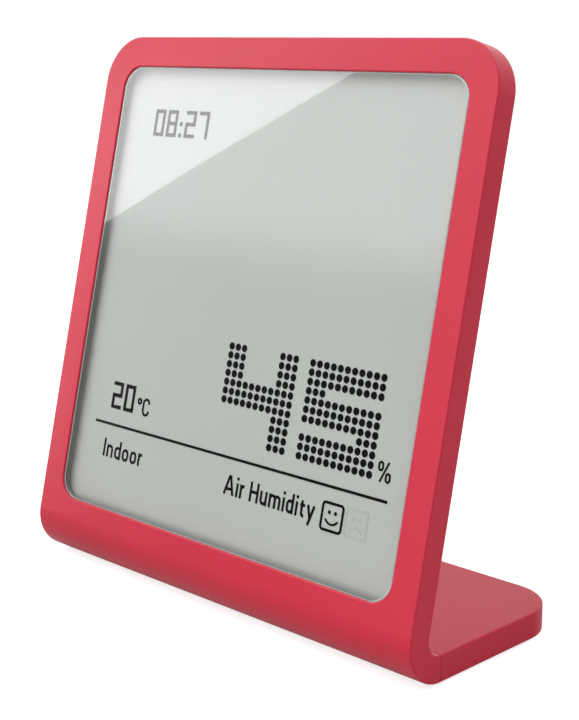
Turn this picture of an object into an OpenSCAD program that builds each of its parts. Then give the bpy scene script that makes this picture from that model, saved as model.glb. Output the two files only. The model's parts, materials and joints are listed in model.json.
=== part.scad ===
// Desk thermo-hygrometer: a bent, plate-like case with a leaning display panel and a flat foot behind it.
// The origin lies under the middle of the case, on the surface that the rubber feet stand on.
// +X is the viewer's right, +Y is the back and +Z is up.

/* [Case] */
// Width of the case
body_w = 90; // [88:1:104]
// Depth of the foot, from the front of the bend to the rear edge
body_d = 39.5; // [38.5:0.5:48]
// Length of the front face line, from the foot's underside to the top edge
panel_len = 97.6; // [92:0.2:112]
// Angle by which the panel leans back
lean = 12.5; // [8:0.5:16]
// Thickness of the panel, the bend and the foot
case_t = 4.4; // [4.4:0.1:5.4]
// Inside radius of the bend between the panel and the foot
bend_in_r = 2.8; // [2:0.1:3.6]
// Radius of the panel's top corners
corner_r = 8.2; // [7:0.2:11]
// Radius of the foot's rear corners
foot_corner_r = 8.8; // [6:0.2:10]
// Thickness of the foot's side walls and of the skin outside the bend
wall = 1.2; // [1:0.1:1.4]
// Thickness of the foot's top skin
foot_skin = 0.8; // [0.6:0.05:0.8]
// Thickness of the cover inside the panel's back
back_cover_t = 0.8; // [0.6:0.05:1]
// Thickness of the cover under the foot
foot_cover_t = 0.8; // [0.6:0.05:0.8]
// Gap left where the mouldings and loose pieces meet
fit_gap = 0.1; // [0.05:0.01:0.14]
// Width of the seam between the panel moulding and the foot
seam_gap = 0.1; // [0.05:0.01:0.2]

/* [Window] */
// Frame width beside the window
frame_side = 5.25; // [4.8:0.05:7]
// Frame width above the window
frame_top = 5.4; // [5:0.1:8]
// Distance from the foot's underside to the window, along the face
frame_bottom = 12.2; // [11.6:0.1:15]
// Radius of the window's corners
window_r = 4.1; // [2:0.1:6]
// Thickness of the lip round the window
lip_t = 0.5; // [0.4:0.05:0.7]

/* [Display] */
// Thickness of the tape that holds the lens
tape_t = 0.1; // [0.05:0.01:0.15]
// Thickness of the clear lens
lens_t = 0.7; // [0.5:0.05:0.9]
// Width of lens hidden behind the lip
lens_overlap = 1.5; // [1:0.1:1.8]
// Air gap between the lens and the display cell
air_gap = 0.05; // [0.02:0.01:0.1]
// Thickness of each polarising film
film_t = 0.1; // [0.08:0.01:0.15]
// Thickness of each display glass
glass_t = 0.4; // [0.3:0.05:0.5]
// Gap between the two glasses
cell_gap = 0.06; // [0.05:0.01:0.1]
// Width of the seal between the two glasses
seal_w = 0.6; // [0.4:0.05:0.8]
// Border of glass outside the window
glass_border = 0.9; // [0.8:0.05:1]
// Height of the glass ledge that carries the contacts
ledge_h = 2.2; // [1.8:0.1:2.4]

/* [Readout] */
// Spacing of the dots in the large digits
dot_pitch = 1.5; // [1.4:0.02:1.55]
// Diameter of a dot
dot_d = 1.22; // [1:0.02:1.3]
// Left edge of the large digits, to the first dot's centre
big_x = -3.0; // [-6:0.1:-2]
// Height of the lowest row of dots, along the face
big_s = 30.45; // [29.8:0.05:36]
// Clear columns of dots between the two large digits
digit_gap = 2.5; // [2:0.1:2.8]
// Width of a small digit
digit_w = 2.68; // [2.4:0.02:3]
// Height of a small digit
digit_h = 4.85; // [4.6:0.05:5.4]
// Stroke of a small digit
digit_stroke = 0.66; // [0.4:0.02:0.7]
// Space between small digits
digit_space = 0.72; // [0.4:0.02:0.8]
// Left edge of the clock
clock_x = -31.7; // [-36:0.1:-30]
// Height of the clock's foot, along the face
clock_s = 79.9; // [70:0.1:82]
// Left edge of the temperature
temp_x = -31.5; // [-36:0.1:-28]
// Height of the temperature's foot, along the face
temp_s = 30; // [29:0.1:34]
// Half length of the rule below the readings
rule_half = 35.1; // [30:0.1:36]
// Height of the rule, along the face
rule_s = 27.1; // [26:0.05:28.2]
// Stroke of the rule
rule_t = 0.46; // [0.3:0.02:0.5]
// Side of a comfort icon
icon_side = 4.7; // [4:0.1:4.8]
// Left edge of the first comfort icon
icon_x = 22.35; // [20:0.05:26]
// Height of the comfort icons' foot, along the face
icon_s = 20.1; // [18:0.1:20.8]
// Stroke of the icons and the unit signs
icon_stroke = 0.44; // [0.3:0.02:0.5]

/* [Battery] */
// Diameter of the coin cell
cell_d = 20; // [16:0.5:20]
// Thickness of the coin cell
cell_h = 2.5; // [1.6:0.1:2.5]
// Distance of the cell from the middle, to the viewer's left
cell_x = 23; // [22:0.5:24]
// Diameter of the battery door
door_d = 24; // [23.6:0.2:25]
// Gap round the battery door
door_gap = 0.2; // [0.15:0.01:0.3]
// Reach of the door's locking lugs past its edge
lug_reach = 1.2; // [0.8:0.1:1.4]
// Turn that frees the battery door
door_turn = 60; // [50:1:60]

/* [Buttons] */
// Width of a button
button_w = 7; // [5:0.1:7.6]
// Height of a button
button_h = 1.6; // [1.2:0.1:1.8]
// Distance that a button stands out of the rear edge
button_proud = 0.3; // [0.2:0.05:0.5]
// Travel of a button
button_travel = 0.3; // [0.2:0.02:0.35]
// Spacing of the buttons
button_pitch = 12; // [11:0.5:12.5]
// Place of the first button, to the viewer's left of the middle
button_x = 6; // [5:0.5:6]
// Gap between a button and its opening
button_gap = 0.15; // [0.1:0.01:0.2]

/* [Electronics] */
// Thickness of the circuit board
board_t = 0.6; // [0.5:0.05:0.8]
// Width of the circuit board
board_w = 49; // [48:0.5:49.5]
// Thickness of the flexible circuit to the display
flex_t = 0.15; // [0.1:0.01:0.2]
// Width of the flexible circuit
flex_w = 24; // [18:0.5:24]
// Thickness of the spring metal in the battery contacts
contact_t = 0.15; // [0.1:0.01:0.15]
// Width of an air slot in the rear edge
vent_w = 0.9; // [0.6:0.1:1.1]
// Height of an air slot
vent_h = 2.2; // [1.6:0.1:2.4]
// Spacing of the air slots
vent_pitch = 2.2; // [1.8:0.1:2.3]
// Number of air slots
vent_count = 4; // [3:1:4]

/* [Feet and screws] */
// Diameter of a rubber foot
pad_d = 7; // [5:0.5:7]
// Height of a rubber foot below the case
pad_h = 0.5; // [0.4:0.1:1]
// Depth of the recess that a rubber foot sits in
pad_sink = 0.3; // [0.2:0.05:0.4]
// Diameter of a screw's thread
screw_d = 1.6; // [1.2:0.1:1.6]
// Diameter of a screw's head
head_d = 2.8; // [2.4:0.1:3]
// Height of a screw's countersunk head
head_h = 0.6; // [0.5:0.05:0.6]

/* [Hidden] */
$fn = 64;
over = 1;
red = [0.83, 0.27, 0.34];
dark = [0.08, 0.08, 0.08];

// The bend: its tangent length from the edge where the face line meets the underside, and its centre
bend_out_r = bend_in_r + case_t;
bend_s = bend_out_r * (1 + sin(lean)) / cos(lean);
bend_c = [bend_s, bend_out_r];
bend_angle = 90 + lean;
bend_steps = 24;
front_gap = bend_s - bend_out_r;
rear = front_gap + body_d;
edge_y = -(body_d + button_proud) / 2 - front_gap;
seam = bend_s + seam_gap;

// The window and what lies behind it, as half widths and heights along the face
window_half = body_w / 2 - frame_side;
window_top = panel_len - frame_top;
lens_half = window_half + lens_overlap;
lens_low = frame_bottom - lens_overlap;
lens_high = window_top + lens_overlap;
lens_r = 1.4;
pocket_half = lens_half + fit_gap;
pocket_high = lens_high + fit_gap;
pocket_r = lens_r + fit_gap;
ledge_under_cover = 0.9;
cover_half = pocket_half + ledge_under_cover;
cover_high = pocket_high + ledge_under_cover;
cover_r = 3.4;
glass_half = window_half + glass_border;
glass_low = frame_bottom - glass_border;
glass_high = window_top + glass_border;
ledge_low = glass_low - ledge_h;

// Depths behind the front face
lens_front = lip_t + tape_t;
lens_back = lens_front + lens_t;
film_front = lens_back + air_gap;
glass_front = film_front + film_t;
mark_front = glass_front + glass_t;
rear_glass_front = mark_front + cell_gap;
reflector_front = rear_glass_front + glass_t;
foam_front = reflector_front + film_t;
foam_back = case_t - back_cover_t;
foam_edge = 1.2;
mark_t = cell_gap * 2 / 3;
bond_gap = 0.02;
flex_front = mark_front + bond_gap;
flex_back = flex_front + flex_t;
flex_x = 2;

// The back cover's snap hooks
hook_len = 5;
hook_t = 0.8;
hook_reach = 0.4;
hook_nose = 0.5;
hook_front = foam_front + fit_gap;

// Heights above the foot's underside
skin_low = case_t - foot_skin;
cell_clear = 0.05;
cell_low = foot_cover_t + cell_clear;
cell_top = cell_low + cell_h;
cap_h = 0.3;
board_top = cell_top + cell_clear;
board_low = board_top - board_t;
inner_half = body_w / 2 - wall;
inner_rear = rear - wall;

// Places in the foot, from the seam, the rear wall and the side walls
cell_offset = 0.9;
cell_y = (bend_s + inner_rear) / 2 + cell_offset;
board_gap = 1.5;
board_x = -cell_x + cell_d / 2 + board_gap;
board_setback = 7.5;
board_front = seam + board_setback;
board_rear_gap = 1.4;
board_rear = inner_rear - board_rear_gap;
flex_insert = 4;
flex_end = board_front + flex_insert;
connector_edge = 2;
connector_grip = 2.5;
connector_jaw = 0.45;
connector_rear = flex_end + connector_edge;
stake_edge = 2.5;
stake_x = [board_x + stake_edge, board_x + board_w - stake_edge];
stake_y = board_front + stake_edge;
stake_d = 1.5;
stake_head = 0.5;
pad_inset = 8;
pad_rear = 5.8;
pad_edge = 0.5;
pad_x = body_w / 2 - pad_inset;
pad_y = [seam + pad_d / 2 + pad_edge, rear - pad_rear];
post_d = 3.6;
post_gap = 0.6;
post_spread = 5;
post_x = inner_half - post_d / 2 - post_gap;
post_y = [cell_y - post_spread, cell_y + post_spread];
lug_inset = 8.5;
lug_x = body_w / 2 - lug_inset;
lug_w = 7;
lug_t = 1.2;
lug_low = foot_cover_t + fit_gap;
lug_top = lug_low + lug_t;
lug_len = 6.4;
lug_root = 2;
lug_hole = 4;
lug_screw_y = seam + lug_hole;

// The battery door
rim_w = 1;
rim_h = 0.6;
lug_arc = 3.6;
lug_angles = [30, 150, 270];
opening_r = door_d / 2 + door_gap;
notch_r = door_d / 2 + lug_reach + door_gap;
rim_top = foot_cover_t + rim_h;

// The ring that keeps the coin cell in place, open towards the contacts
ring_t = 0.6;
ring_gap = 0.3;
ring_r = cell_d / 2 + ring_gap;
ring_clear = 0.25;
ring_low = rim_top + ring_clear;
ring_mouth = 8;
leaf_w = 5;
leaf_tail = 2.4;

// The buttons, switches and air slots
button_places = [for (i = [0:2]) -button_x + i * button_pitch];
button_z = case_t / 2;
flange_t = 0.6;
flange_edge = 0.5;
flange_rear = inner_rear - fit_gap;
switch_w = 4.6;
switch_d = 2.6;
switch_h = 1.5;
switch_setback = 0.2;
switch_rear = board_rear - switch_setback;
switch_z = board_low - switch_h / 2;
plunger_w = 1.8;
plunger_h = 0.7;
plunger_len = 1;
stem_w = 2.4;
stem_h = 1;
stem_len = 0.35;
plunger_rear = flange_rear - flange_t - stem_len;
vent_space = 3.4;
vent_x = button_places[2] + button_w / 2 + vent_space;

// Blocks under the circuit board: corners from its front left corner, then sizes
chip_size = [7, 7, 0.9];
chip_mid = (connector_rear + switch_rear - switch_d) / 2;
chip_at = [29, chip_mid - chip_size[1] / 2 - board_front];
crystal_at = [22, 12];
crystal_size = [3.2, 1.5, 0.7];
small_at = [12, 8.4];
small_size = [1, 0.5, 0.5];
small_pitch = 2;
small_count = 8;
sensor_side = 2.5;
sensor_h = 0.8;
sensor_port = 1.2;

// Which bars of a seven-bar digit are dark, from the top: top, upper left and right, middle,
// lower left and right, bottom
function bars(n) =
    n == 0 ? [1, 1, 1, 0, 1, 1, 1] :
    n == 2 ? [1, 0, 1, 1, 1, 0, 1] :
    n == 4 ? [0, 1, 1, 1, 0, 1, 0] :
    n == 5 ? [1, 1, 0, 1, 0, 1, 1] :
    n == 7 ? [1, 0, 1, 0, 0, 1, 0] :
    [1, 1, 1, 1, 1, 1, 1];

// A point of the side view, at a distance along the face and a depth behind it
function on_face(s, depth) = [s * sin(lean) + depth * cos(lean), s * cos(lean) - depth * sin(lean)];

// Puts children drawn as X across, Y up the face and Z out of the face on the panel
module on_panel() {
    translate([0, edge_y, pad_h]) rotate([90 - lean, 0, 0]) children();
}

// Puts children drawn from the lower front edge of the case, with Z from the foot's underside
module in_foot() {
    translate([0, edge_y, pad_h]) children();
}

// A flat shape of the panel as a layer between two depths behind the face
module layer(front, back) {
    translate([0, 0, -back]) linear_extrude(back - front) children();
}

// A side view drawn as depth and height, drawn out along the width
module across(width) {
    rotate([90, 0, 90]) linear_extrude(width, center = true) children();
}

module rounded_rect(w, h, r) {
    square([w - 2 * r, h], center = true);
    square([w, h - 2 * r], center = true);
    for (x = [-1, 1], y = [-1, 1]) translate([x * (w / 2 - r), y * (h / 2 - r)]) circle(r);
}

// A rectangle of the panel with all its corners rounded
module panel_rect(half, low, high, r) {
    translate([0, (low + high) / 2]) rounded_rect(2 * half, high - low, r);
}

// A rectangle with only its far corners rounded
module far_rounded(half, low, high, r) {
    translate([-half, low]) square([2 * half, high - low - r]);
    translate([-half + r, low]) square([2 * (half - r), high - low]);
    for (x = [-1, 1]) translate([x * (half - r), high - r]) circle(r);
}

// A point of the bend at a depth behind its outer surface, counted from the foot to the panel
function on_bend(depth, step) =
    let (a = bend_angle * step / bend_steps) bend_c - (bend_out_r - depth) * [sin(a), cos(a)];

// The side view of a strip between two depths, from a place in the foot, round the bend and up the panel
module bent_strip(front, back, top, foot = bend_s) {
    foot_end = foot > bend_s ? [[foot, back], [foot, front]] : [];
    outer_arc = [for (i = [0:bend_steps]) on_bend(front, i)];
    inner_arc = [for (i = [0:bend_steps]) on_bend(back, bend_steps - i)];
    polygon(concat(foot_end, outer_arc, [on_face(top, front), on_face(top, back)], inner_arc));
}

// A bent sheet between two depths, with rounded top corners
module bent_sheet(half, front, back, high, r, foot = bend_s) {
    intersection() {
        in_foot() across(2 * half) bent_strip(front, back, high + over, foot);
        on_panel() layer(-over, 3 * case_t)
            far_rounded(half + over / 100, -2 * case_t, high, r + over / 100);
    }
}

module foot_outline(inset, front) {
    far_rounded(body_w / 2 - inset, front, rear - inset, foot_corner_r - inset);
}

module pill(w, h) {
    square([w - h, h], center = true);
    for (x = [-1, 1]) translate([x * (w - h) / 2, 0]) circle(h / 2);
}

// A flat shape on the rear edge, as a layer between two distances from the front edge
module rear_layer(front, back) {
    translate([0, back, 0]) rotate([90, 0, 0]) linear_extrude(back - front) children();
}

// One screw, head down, with its head's face at the origin
module screw(length) {
    slot_w = head_d / 8;
    difference() {
        union() {
            cylinder(h = head_h, d1 = head_d, d2 = screw_d);
            translate([0, 0, head_h]) cylinder(h = length - head_h, d = screw_d);
        }
        for (turn = [0, 90]) rotate(turn)
            translate([-head_d * 0.3, -slot_w / 2, -over]) cube([head_d * 0.6, slot_w, over + head_h / 2]);
    }
}

// The hole for one screw, with its countersink, open past the head's face
module screw_hole(length) {
    translate([0, 0, -fit_gap])
        cylinder(h = head_h + fit_gap, d1 = head_d + 6 * fit_gap, d2 = screw_d + fit_gap);
    translate([0, 0, -over]) cylinder(h = length + over, d = screw_d + fit_gap);
}

// A post under the foot's top skin, from a height above the underside, with a blind hole for a screw
module screw_post(low) {
    difference() {
        translate([0, 0, low]) cylinder(h = case_t - low - foot_skin / 2, d = post_d);
        translate([0, 0, low - over]) cylinder(h = skin_low - low + over, d = screw_d + fit_gap);
    }
}

module front_frame() {
    color(red) {
        difference() {
            bent_sheet(body_w / 2, 0, case_t, panel_len, corner_r);
            bent_sheet(cover_half, case_t - back_cover_t, case_t + over, cover_high, cover_r, bend_s + over);
            in_foot() across(2 * pocket_half) bent_strip(wall, case_t + over, frame_bottom, bend_s + over);
            on_panel() {
                layer(-over, case_t + over) panel_rect(window_half, frame_bottom, window_top, window_r);
                layer(lip_t, case_t + over)
                    panel_rect(pocket_half, lens_low - fit_gap, pocket_high, pocket_r);
                snap_hooks(fit_gap);
            }
        }
        in_foot() for (x = [-1, 1]) difference() {
            translate([x * lug_x - lug_w / 2, bend_s - lug_root, lug_low])
                cube([lug_w, lug_len + lug_root, lug_t]);
            translate([x * lug_x, lug_screw_y, lug_low]) screw_hole(lug_t + over);
        }
    }
}

// The hooks on the back cover that snap into the panel's side walls, or their pockets where grow is set
module snap_hooks(grow = 0) {
    for (x = [-1, 1], share = [0.25, 0.5, 0.75]) {
        s = lens_low + share * (lens_high - lens_low);
        nose = [hook_t + hook_reach + 2 * grow, hook_len + 2 * grow];
        translate([x * (pocket_half - fit_gap - hook_t / 2 + hook_reach / 2), s])
            layer(hook_front - grow, hook_front + hook_nose + grow) square(nose, center = true);
        if (grow == 0) translate([x * (pocket_half - fit_gap - hook_t / 2), s])
            layer(hook_front, case_t - back_cover_t / 2) square([hook_t, hook_len], center = true);
    }
}

module back_cover() {
    color(red) {
        bent_sheet(cover_half - fit_gap, case_t - back_cover_t, case_t,
            cover_high - fit_gap, cover_r - fit_gap);
        on_panel() snap_hooks();
    }
}

module foot_shell() {
    color(red) in_foot() {
        difference() {
            linear_extrude(case_t) foot_outline(0, seam);
            translate([0, 0, -over]) linear_extrude(skin_low + over) foot_outline(wall, seam - over);
            translate([0, 0, button_z]) rear_layer(inner_rear - over, rear + over)
                for (x = button_places) translate([x, 0])
                    pill(button_w + 2 * button_gap, button_h + 2 * button_gap);
            for (i = [0:vent_count - 1])
                translate([vent_x + i * vent_pitch, 0, button_z]) rear_layer(inner_rear - over, rear + over)
                    rotate(90) pill(vent_h, vent_w);
        }
        for (x = [-1, 1], y = post_y) translate([x * post_x, y, 0]) screw_post(foot_cover_t + fit_gap / 2);
        for (x = [-1, 1]) translate([x * lug_x, lug_screw_y, 0]) screw_post(lug_top);
        for (x = stake_x) translate([x, stake_y, 0]) {
            translate([0, 0, board_top]) cylinder(h = case_t - board_top - foot_skin / 2, d = 2 * stake_d);
            translate([0, 0, board_low - stake_head]) cylinder(h = case_t - board_low, d = stake_d);
            translate([0, 0, board_low - stake_head]) cylinder(h = stake_head, d = stake_d * 1.7);
        }
        translate([-cell_x, cell_y, ring_low]) difference() {
            cylinder(h = case_t - ring_low - foot_skin / 2, r = ring_r + ring_t);
            translate([0, 0, -over]) cylinder(h = skin_low - ring_low + over, r = ring_r);
            translate([0, -ring_mouth / 2, -over]) cube([cell_d, ring_mouth, skin_low - ring_low + over]);
        }
    }
}

module foot_cover() {
    color(red) in_foot() difference() {
        linear_extrude(foot_cover_t) foot_outline(wall + fit_gap, seam);
        translate([-cell_x, cell_y, -over]) {
            cylinder(h = foot_cover_t + 2 * over, r = opening_r);
            for (a = lug_angles) rotate(a + door_turn)
                translate([0, -lug_arc / 2 - door_gap, 0])
                    cube([notch_r, lug_arc + 2 * door_gap, foot_cover_t + 2 * over]);
        }
        for (x = [-1, 1], y = post_y) translate([x * post_x, y, 0]) screw_hole(foot_cover_t + over);
        for (x = [-1, 1], y = pad_y) translate([x * pad_x, y, -over])
            cylinder(h = pad_sink + over, d = pad_d + 2 * fit_gap);
    }
}

module battery_door() {
    slot_w = 1.6;
    slot_len = door_d / 2;
    lug_base = foot_cover_t + fit_gap / 2;
    color(red) in_foot() translate([-cell_x, cell_y, 0]) {
        difference() {
            cylinder(h = foot_cover_t, d = door_d);
            translate([0, 0, -over]) linear_extrude(over + foot_cover_t / 2) pill(slot_len, slot_w);
        }
        translate([0, 0, foot_cover_t / 2]) difference() {
            cylinder(h = rim_top - foot_cover_t / 2, d = door_d);
            translate([0, 0, -over]) cylinder(h = case_t, d = door_d - 2 * rim_w);
        }
        for (a = lug_angles) rotate(a)
            translate([door_d / 2 - rim_w / 2, -lug_arc / 2, lug_base])
                cube([lug_reach + rim_w / 2, lug_arc, rim_top - lug_base]);
    }
}

module rubber_feet() {
    color(dark) in_foot() for (x = [-1, 1], y = pad_y)
        translate([x * pad_x, y, -pad_h]) cylinder(h = pad_h + pad_sink, d = pad_d);
}

module lens_tape() {
    tape_edge = 0.3;
    color("dimgray") on_panel() layer(lip_t, lens_front) difference() {
        panel_rect(lens_half, lens_low, lens_high, lens_r);
        panel_rect(
            window_half + tape_edge, frame_bottom - tape_edge, window_top + tape_edge, window_r + tape_edge
        );
    }
}

module cover_lens() {
    color([0.9, 0.93, 0.92, 0.3]) on_panel()
        layer(lens_front, lens_back) panel_rect(lens_half, lens_low, lens_high, lens_r);
}

// A sheet of the display cell, from a height along the face up to the glass's top edge
module display_sheet(front, back, low) {
    on_panel() layer(front, back)
        translate([-glass_half, low]) square([2 * glass_half, glass_high - low]);
}

module front_polariser() {
    color([0.8, 0.82, 0.78, 0.4]) display_sheet(film_front, glass_front, glass_low);
}

module front_glass() {
    color([0.85, 0.9, 0.88, 0.4]) display_sheet(glass_front, mark_front, ledge_low);
}

module cell_seal() {
    color("gray") on_panel() layer(mark_front, rear_glass_front) difference() {
        translate([-glass_half, glass_low]) square([2 * glass_half, glass_high - glass_low]);
        translate([-glass_half + seal_w, glass_low + seal_w])
            square([2 * (glass_half - seal_w), glass_high - glass_low - 2 * seal_w]);
    }
}

// Dark marks of the display, on the back of the front glass
module marks(tone) {
    color(tone) on_panel() layer(mark_front, mark_front + mark_t) children();
}

// One large digit of dots, three dots to a bar on a grid of eleven
module dot_digit(n) {
    b = bars(n);
    for (c = [0:10], r = [0:10]) {
        top = b[0] && r >= 8;
        middle = b[3] && r >= 4 && r <= 6;
        bottom = b[6] && r <= 2;
        left = c <= 2 && (b[1] && r >= 4 || b[4] && r <= 6);
        right = c >= 8 && (b[2] && r >= 4 || b[5] && r <= 6);
        if (top || middle || bottom || left || right)
            translate([c * dot_pitch, r * dot_pitch]) circle(d = dot_d);
    }
}

// One small digit of plain bars
module bar_digit(n) {
    b = bars(n);
    half = (digit_h + digit_stroke) / 2;
    right_x = digit_w - digit_stroke;
    if (b[0]) translate([0, digit_h - digit_stroke]) square([digit_w, digit_stroke]);
    if (b[3]) translate([0, (digit_h - digit_stroke) / 2]) square([digit_w, digit_stroke]);
    if (b[6]) square([digit_w, digit_stroke]);
    if (b[1]) translate([0, digit_h - half]) square([digit_stroke, half]);
    if (b[2]) translate([right_x, digit_h - half]) square([digit_stroke, half]);
    if (b[4]) square([digit_stroke, half]);
    if (b[5]) translate([right_x, 0]) square([digit_stroke, half]);
}

module humidity_digits() {
    step = (10 + digit_gap) * dot_pitch;
    marks(dark) translate([big_x, big_s]) {
        dot_digit(4);
        translate([step, 0]) dot_digit(5);
    }
}

module clock_digits() {
    step = digit_w + digit_space;
    colon_side = 1.1 * digit_stroke;
    colon = colon_side + digit_space;
    marks(dark) translate([clock_x, clock_s]) {
        bar_digit(0);
        translate([step, 0]) bar_digit(8);
        translate([2 * step, 0]) for (y = [0, (digit_h - colon_side) / 2])
            translate([0, y]) square(colon_side);
        translate([2 * step + colon, 0]) bar_digit(2);
        translate([3 * step + colon, 0]) bar_digit(7);
    }
}

module temperature_digits() {
    marks(dark) translate([temp_x, temp_s]) {
        bar_digit(2);
        translate([digit_w + digit_space, 0]) bar_digit(0);
    }
}

module divider_rule() {
    marks(dark) translate([-rule_half, rule_s - rule_t / 2]) square([2 * rule_half, rule_t]);
}

// An upright loop with round ends, drawn as a stroke
module loop(w, h, stroke) {
    difference() {
        rotate(90) pill(h, w);
        rotate(90) pill(h - 2 * stroke, w - 2 * stroke);
    }
}

module unit_signs() {
    sign_h = 3.2;
    sign_w = 2.75;
    sign_space = 0.9;
    degree_d = 1.24;
    degree_rise = 2.4;
    letter_w = 1.9;
    letter_mouth = 1.2;
    letter_space = 0.26;
    loop_w = 1.12;
    loop_h = 1.62;
    bar_inset = 0.5;
    percent_stroke = 0.82 * icon_stroke;
    degree_x = temp_x + 2 * digit_w + digit_space + sign_space + degree_d / 2;
    letter_x = degree_x + (degree_d + letter_w) / 2 + letter_space;
    percent_x = big_x + (20 + digit_gap) * dot_pitch + dot_d / 2 + sign_space;
    marks(dark) {
        translate([degree_x, temp_s + degree_rise]) difference() {
            circle(d = degree_d);
            circle(d = degree_d - 2 * icon_stroke);
        }
        translate([letter_x, temp_s + sign_h / 2]) difference() {
            loop(letter_w, sign_h, icon_stroke);
            translate([0, -letter_mouth / 2]) square([letter_w, letter_mouth]);
        }
        translate([percent_x, big_s - dot_d / 2]) {
            translate([loop_w / 2, sign_h - loop_h / 2]) loop(loop_w, loop_h, percent_stroke);
            translate([sign_w - loop_w / 2, loop_h / 2]) loop(loop_w, loop_h, percent_stroke);
            polygon([
                [bar_inset, 0], [bar_inset + percent_stroke, 0],
                [sign_w - bar_inset, sign_h], [sign_w - bar_inset - percent_stroke, sign_h]
            ]);
        }
    }
}

// A comfort icon: a plain rounded box with two dots and a curved line, turned up or down
module comfort_icon(up) {
    mid = icon_side / 2;
    corner = icon_side * 0.16;
    mouth_r = icon_side * 0.36;
    mouth_low = -icon_side * 0.28;
    mouth_h = icon_side * 0.19;
    mouth_stroke = icon_stroke * 0.8;
    translate([mid, mid]) {
        difference() {
            rounded_rect(icon_side, icon_side, corner);
            rounded_rect(icon_side - 2 * icon_stroke, icon_side - 2 * icon_stroke, corner - icon_stroke);
        }
        for (x = [-1, 1]) translate([x * icon_side * 0.138, icon_side * 0.15]) circle(d = icon_side * 0.13);
        intersection() {
            translate([0, mouth_low + (up ? mouth_r : mouth_h - mouth_r)]) difference() {
                circle(mouth_r);
                circle(mouth_r - mouth_stroke);
            }
            translate([-mouth_r, mouth_low]) square([2 * mouth_r, mouth_h]);
        }
    }
}

module comfort_icon_on() {
    marks(dark) translate([icon_x, icon_s]) comfort_icon(true);
}

module comfort_icon_off() {
    icon_space = 0.3;
    marks([0.68, 0.7, 0.67]) translate([icon_x + icon_side + icon_space, icon_s]) comfort_icon(false);
}

module rear_glass() {
    color([0.8, 0.84, 0.8, 0.6]) display_sheet(rear_glass_front, reflector_front, glass_low);
}

module reflector() {
    color([0.72, 0.74, 0.71]) display_sheet(reflector_front, foam_front, glass_low);
}

module foam_pad() {
    color([0.2, 0.2, 0.21]) on_panel() layer(foam_front, foam_back)
        translate([-glass_half + foam_edge, glass_low + foam_edge])
            square([2 * (glass_half - foam_edge), glass_high - glass_low - 2 * foam_edge]);
}

module display_flex() {
    color([0.75, 0.5, 0.15]) in_foot() translate([flex_x + flex_w / 2, 0, 0])
        across(flex_w) bent_strip(flex_front, flex_back, glass_low - fit_gap, flex_end);
}

module flex_connector() {
    front = flex_end - connector_grip;
    low = flex_front - connector_jaw;
    color([0.9, 0.88, 0.8]) in_foot() difference() {
        translate([flex_x - connector_edge, front, low])
            cube([flex_w + 2 * connector_edge, connector_rear - front, board_low - low]);
        translate([flex_x - fit_gap, front - over, flex_front - fit_gap / 2])
            cube([flex_w + 2 * fit_gap, connector_grip + over + fit_gap, flex_t + fit_gap]);
    }
}

module main_board() {
    color([0.1, 0.35, 0.2]) in_foot() difference() {
        translate([board_x, board_front, board_low]) cube([board_w, board_rear - board_front, board_t]);
        for (x = stake_x) translate([x, stake_y, 0]) cylinder(h = case_t, d = stake_d + fit_gap);
        for (x = [-1, 1], y = post_y) translate([x * post_x, y, 0])
            cylinder(h = case_t, d = post_d + post_gap);
    }
}

// A block soldered under the circuit board, given by its corner from the board's front left corner
module board_part(at, size) {
    in_foot() translate([board_x + at[0], board_front + at[1], board_low - size[2]]) cube(size);
}

module controller_chip() {
    color(dark) board_part(chip_at, chip_size);
}

module clock_crystal() {
    color("silver") board_part(crystal_at, crystal_size);
}

module small_components() {
    color([0.55, 0.45, 0.35]) for (i = [0:small_count - 1])
        board_part([small_at[0] + i * small_pitch, small_at[1]], small_size);
}

// The air sensor, with its port facing down, just inside the air slots
module humidity_sensor() {
    sensor_x = vent_x + (vent_count - 1) * vent_pitch / 2;
    sensor_y = board_rear - sensor_side / 2 - fit_gap;
    color([0.9, 0.9, 0.92]) in_foot() translate([sensor_x, sensor_y, board_low - sensor_h]) difference() {
        translate([-sensor_side / 2, -sensor_side / 2, 0]) cube([sensor_side, sensor_side, sensor_h]);
        translate([0, 0, -over]) cylinder(h = over + sensor_h / 3, d = sensor_port);
    }
}

module coin_cell() {
    color("silver") in_foot() translate([-cell_x, cell_y, cell_low]) {
        cylinder(h = cell_h - cap_h, d = cell_d);
        cylinder(h = cell_h, d = cell_d * 0.86);
    }
}

module positive_contact() {
    leaf_x = -cell_x + cell_d / 2 + fit_gap;
    tab_len = board_x - leaf_x + leaf_tail;
    color([0.85, 0.83, 0.75]) in_foot() translate([leaf_x, cell_y - leaf_w / 2, 0]) {
        translate([0, 0, ring_low]) cube([contact_t, leaf_w, board_low - ring_low]);
        translate([0, 0, board_low - contact_t]) cube([tab_len, leaf_w, contact_t]);
    }
}

module negative_contact() {
    tip = 3;
    color([0.85, 0.83, 0.75]) in_foot() translate([-cell_x - tip, cell_y - leaf_w / 2, board_top])
        cube([board_x + cell_x + tip + leaf_tail, leaf_w, contact_t]);
}

// A button cap: the part that shows, its inner flange and the short stem that meets the switch
module button(i) {
    color(red) in_foot() translate([button_places[i], 0, button_z]) {
        rear_layer(flange_rear - flange_t / 2, rear + button_proud) pill(button_w, button_h);
        rear_layer(flange_rear - flange_t, flange_rear)
            pill(button_w + 2 * flange_edge, button_h + 2 * flange_edge);
        translate([0, 0, switch_z - button_z]) rear_layer(plunger_rear, flange_rear - flange_t / 2)
            square([stem_w, stem_h], center = true);
    }
}

// The switch's own plunger, which moves with the cap
module plunger(i) {
    color(dark) in_foot() translate([button_places[i], 0, switch_z])
        rear_layer(plunger_rear - plunger_len, plunger_rear) square([plunger_w, plunger_h], center = true);
}

module set_button() button(0);
module plus_button() button(1);
module minus_button() button(2);
module set_plunger() plunger(0);
module plus_plunger() plunger(1);
module minus_plunger() plunger(2);

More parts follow.
